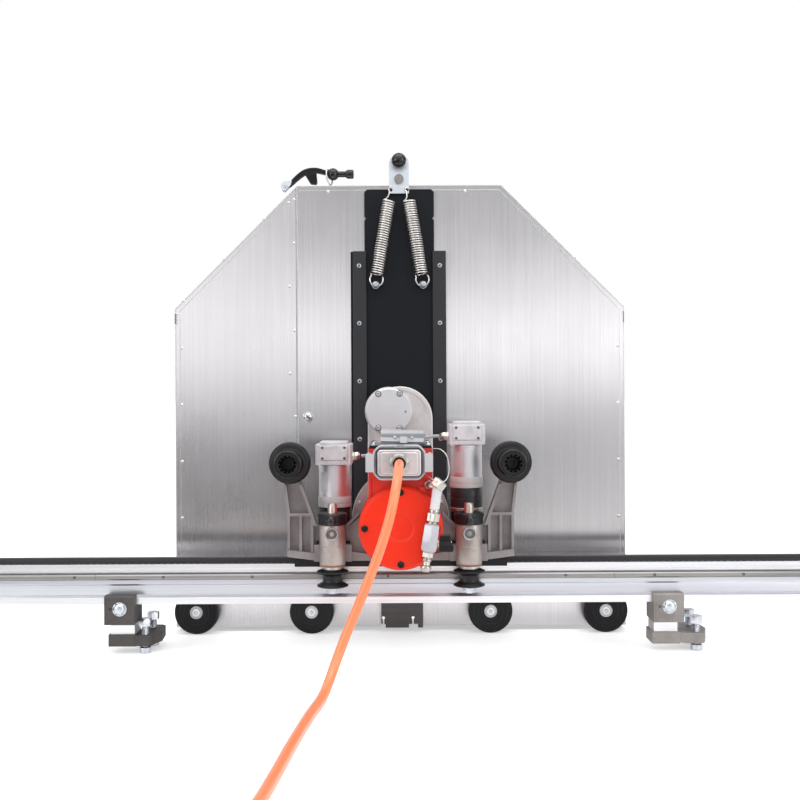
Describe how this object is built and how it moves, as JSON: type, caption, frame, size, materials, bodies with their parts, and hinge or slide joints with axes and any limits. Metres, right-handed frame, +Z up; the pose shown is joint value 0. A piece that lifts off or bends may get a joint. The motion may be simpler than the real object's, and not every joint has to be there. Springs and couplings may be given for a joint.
{
  "type": "rail-guided concrete saw",
  "caption": "Rail-guided track saw for concrete: geared carriage with red motor on an aluminium rail, swing arm with diamond blade in a stainless guard on wheels, and a power cable.",
  "frame": {"origin": "centre of the machine's footprint on the floor, cable left out", "axes": "+X along the rail to the right as the operator sees it, +Y away from the operator towards the blade, +Z up"},
  "size_m": [2, 1.4943, 1.006],
  "materials": {
    "rail_aluminium": "extruded, natural, drawn lines along the rail",
    "rack_steel": "blackened milled steel, oiled",
    "track_steel": "ground steel with rolled wear lines",
    "phosphated_steel": "manganese phosphated, slightly rubbed edges",
    "zinc_bolt": "bright zinc plated",
    "cast_aluminium": "raw sand-cast skin with grey smudges",
    "turned_steel": "turned and face-milled",
    "blackened_steel": "oil-blackened, polished where it runs",
    "black_rubber": "moulded, slightly dusty",
    "motor_red": "powder coat, semi-gloss",
    "gearmotor_aluminium": "anodised, fine turned",
    "connector_grey": "grey glass-filled moulding",
    "hood_metal": "bead-blasted die casting",
    "nickel": "nickel plated brass",
    "blade_steel": "ground steel core with sintered rim",
    "stainless": "brushed sheet, soft smears and scratches",
    "black_plate": "black oxide plate, satin",
    "spring_steel": "drawn spring wire",
    "zinc_bracket": "bright zinc plated sheet",
    "cable_orange": "polyurethane jacket, matte"
  },
  "bodies": {
    "root": {"rail_extrusion": "rail_aluminium", "rail_rack": "rack_steel", "rail_track_front": "track_steel", "rail_track_rear": "track_steel", "foot_base_left": "phosphated_steel", "foot_base_right": "phosphated_steel", "foot_jaw_left": "phosphated_steel", "foot_jaw_right": "phosphated_steel"},
    "carriage": {"carriage_frame": "cast_aluminium", "roller_post_left": "cast_aluminium", "roller_post_right": "cast_aluminium", "handle_knob_left": "black_rubber", "handle_knob_right": "black_rubber", "gearmotor_left": "gearmotor_aluminium", "gearmotor_right": "gearmotor_aluminium", "gearmotor_cap_left": "gearmotor_aluminium", "gearmotor_cap_right": "gearmotor_aluminium", "motor_housing": "motor_red", "motor_end_cap": "motor_red", "terminal_cover": "connector_grey", "hood_frame": "connector_grey", "connector_hood": "hood_metal", "cable_gland": "nickel", "water_valve": "nickel", "power_cable": "cable_orange", "cable_coil": "cable_orange", "cable_connector": "black_rubber"},
    "arm": {"arm_housing": "cast_aluminium", "arm_cover": "turned_steel"},
    "blade": {"blade_spindle": "turned_steel", "saw_blade": "blade_steel"},
    "slider": {"slider_plate": "black_plate", "spring_left": "spring_steel", "spring_right": "spring_steel"},
    "guard": {"guard_shell": "stainless", "guard_front": "stainless", "guard_front_left": "stainless", "guide_bar_left": "black_plate", "guide_bar_right": "black_plate", "spring_bracket": "zinc_bracket"},
    "pinion": {"travel_pinion": "turned_steel"},
    "tap": {"valve_handle": "black_rubber"},
    "plunger": {"lock_plunger": "black_rubber"},
    "latch": {"latch_lever": "black_rubber"},
    "roller_front_left": {"v_roller_front_left": "blackened_steel"},
    "roller_rear_left": {"v_roller_rear_left": "blackened_steel"},
    "lock_left": {"roller_lock_left": "blackened_steel"},
    "hood_lever_left": {"hood_lever_left": "connector_grey"},
    "bolt_front_left": {"level_bolt_front_left": "zinc_bolt"},
    "bolt_rear_left": {"level_bolt_rear_left": "zinc_bolt"},
    "roller_front_right": {"v_roller_front_right": "blackened_steel"},
    "roller_rear_right": {"v_roller_rear_right": "blackened_steel"},
    "lock_right": {"roller_lock_right": "blackened_steel"},
    "hood_lever_right": {"hood_lever_right": "connector_grey"},
    "bolt_front_right": {"level_bolt_front_right": "zinc_bolt"},
    "bolt_rear_right": {"level_bolt_rear_right": "zinc_bolt"},
    "wheel_1": {"guard_wheel_1": "black_rubber"},
    "wheel_2": {"guard_wheel_2": "black_rubber"},
    "wheel_3": {"guard_wheel_3": "black_rubber"},
    "wheel_4": {"guard_wheel_4": "black_rubber"}
  },
  "joints": [
    {"name": "carriage_travel", "type": "slide", "parent": "root", "child": "carriage", "axis": [1, 0, 0], "range_m": [-0.75, 0.75]},
    {"name": "arm_swing", "type": "hinge", "parent": "carriage", "child": "arm", "pos_m": [0, 0, 0.254], "axis": [0, 1, 0], "range_deg": [-135, 135]},
    {"name": "guard_pivot", "type": "hinge", "parent": "arm", "child": "slider", "pos_m": [0, 0.105, 0.449], "axis": [0, 1, 0], "range_deg": [-135, 135]},
    {"name": "guard_float", "type": "slide", "parent": "slider", "child": "guard", "axis": [0, 0, 1], "range_m": [0, 0.335], "stiffness_N_per_m": 400, "springref_m": -0.1, "deforming": ["spring_left", "spring_right"]},
    {"name": "blade_spin", "type": "hinge", "parent": "arm", "child": "blade", "pos_m": [0, 0.167, 0.449], "axis": [0, 1, 0], "continuous": true},
    {"name": "roller_front_left_spin", "type": "hinge", "parent": "carriage", "child": "roller_front_left", "pos_m": [-0.13, -0.117, 0.151], "axis": [0, 0, 1], "continuous": true},
    {"name": "roller_rear_left_spin", "type": "hinge", "parent": "carriage", "child": "roller_rear_left", "pos_m": [-0.13, 0.041, 0.151], "axis": [0, 0, 1], "continuous": true},
    {"name": "lock_left_turn", "type": "hinge", "parent": "carriage", "child": "lock_left", "pos_m": [-0.13, -0.117, 0.265], "axis": [0, 0, 1], "range_deg": [-60, 60]},
    {"name": "roller_front_right_spin", "type": "hinge", "parent": "carriage", "child": "roller_front_right", "pos_m": [0.13, -0.117, 0.151], "axis": [0, 0, 1], "continuous": true},
    {"name": "roller_rear_right_spin", "type": "hinge", "parent": "carriage", "child": "roller_rear_right", "pos_m": [0.13, 0.041, 0.151], "axis": [0, 0, 1], "continuous": true},
    {"name": "lock_right_turn", "type": "hinge", "parent": "carriage", "child": "lock_right", "pos_m": [0.13, -0.117, 0.265], "axis": [0, 0, 1], "range_deg": [-60, 60]},
    {"name": "pinion_spin", "type": "hinge", "parent": "carriage", "child": "pinion", "pos_m": [0.13, -0.042, 0.16], "axis": [0, 0, 1], "continuous": true},
    {"name": "hood_lever_left_turn", "type": "hinge", "parent": "carriage", "child": "hood_lever_left", "pos_m": [-0.0575, -0.184, 0.376], "axis": [0, 0, 1], "range_deg": [-85, 0]},
    {"name": "hood_lever_right_turn", "type": "hinge", "parent": "carriage", "child": "hood_lever_right", "pos_m": [0.0535, -0.184, 0.376], "axis": [0, 0, 1], "range_deg": [0, 85]},
    {"name": "tap_turn", "type": "hinge", "parent": "carriage", "child": "tap", "pos_m": [0.08, -0.2046, 0.229], "axis": [1, 0, 0], "range_deg": [0, 90]},
    {"name": "wheel_1_spin", "type": "hinge", "parent": "guard", "child": "wheel_1", "pos_m": [-0.428, 0.095, 0.046], "axis": [0, 1, 0], "continuous": true},
    {"name": "wheel_2_spin", "type": "hinge", "parent": "guard", "child": "wheel_2", "pos_m": [-0.187, 0.095, 0.046], "axis": [0, 1, 0], "continuous": true},
    {"name": "wheel_3_spin", "type": "hinge", "parent": "guard", "child": "wheel_3", "pos_m": [0.187, 0.095, 0.046], "axis": [0, 1, 0], "continuous": true},
    {"name": "wheel_4_spin", "type": "hinge", "parent": "guard", "child": "wheel_4", "pos_m": [0.428, 0.095, 0.046], "axis": [0, 1, 0], "continuous": true},
    {"name": "plunger_pull", "type": "slide", "parent": "guard", "child": "plunger", "axis": [0, -1, 0], "range_m": [0, 0.012], "stiffness_N_per_m": 500, "springref_m": -0.01},
    {"name": "latch_open", "type": "hinge", "parent": "guard", "child": "latch", "pos_m": [-0.24, 0.166, 0.956], "axis": [0, 1, 0], "range_deg": [-100, 0]},
    {"name": "level_bolt_front_left_turn", "type": "hinge", "parent": "root", "child": "bolt_front_left", "pos_m": [-0.4985, -0.071, 0], "axis": [0, 0, 1], "continuous": true},
    {"name": "level_bolt_front_right_turn", "type": "hinge", "parent": "root", "child": "bolt_front_right", "pos_m": [0.5745, -0.071, 0], "axis": [0, 0, 1], "continuous": true},
    {"name": "level_bolt_rear_left_turn", "type": "hinge", "parent": "root", "child": "bolt_rear_left", "pos_m": [-0.497, -0.009, 0], "axis": [0, 0, 1], "continuous": true},
    {"name": "level_bolt_rear_right_turn", "type": "hinge", "parent": "root", "child": "bolt_rear_right", "pos_m": [0.576, -0.009, 0], "axis": [0, 0, 1], "continuous": true}
  ],
  "couplings": [
    {"joint": "guard_pivot", "follows": "arm_swing", "ratio": -1},
    {"joint": "roller_front_left_spin", "follows": "carriage_travel", "rad_per_m": 52.632},
    {"joint": "roller_rear_left_spin", "follows": "carriage_travel", "rad_per_m": -52.632},
    {"joint": "roller_front_right_spin", "follows": "carriage_travel", "rad_per_m": 52.632},
    {"joint": "roller_rear_right_spin", "follows": "carriage_travel", "rad_per_m": -52.632},
    {"joint": "pinion_spin", "follows": "carriage_travel", "rad_per_m": -41.667}
  ]
}
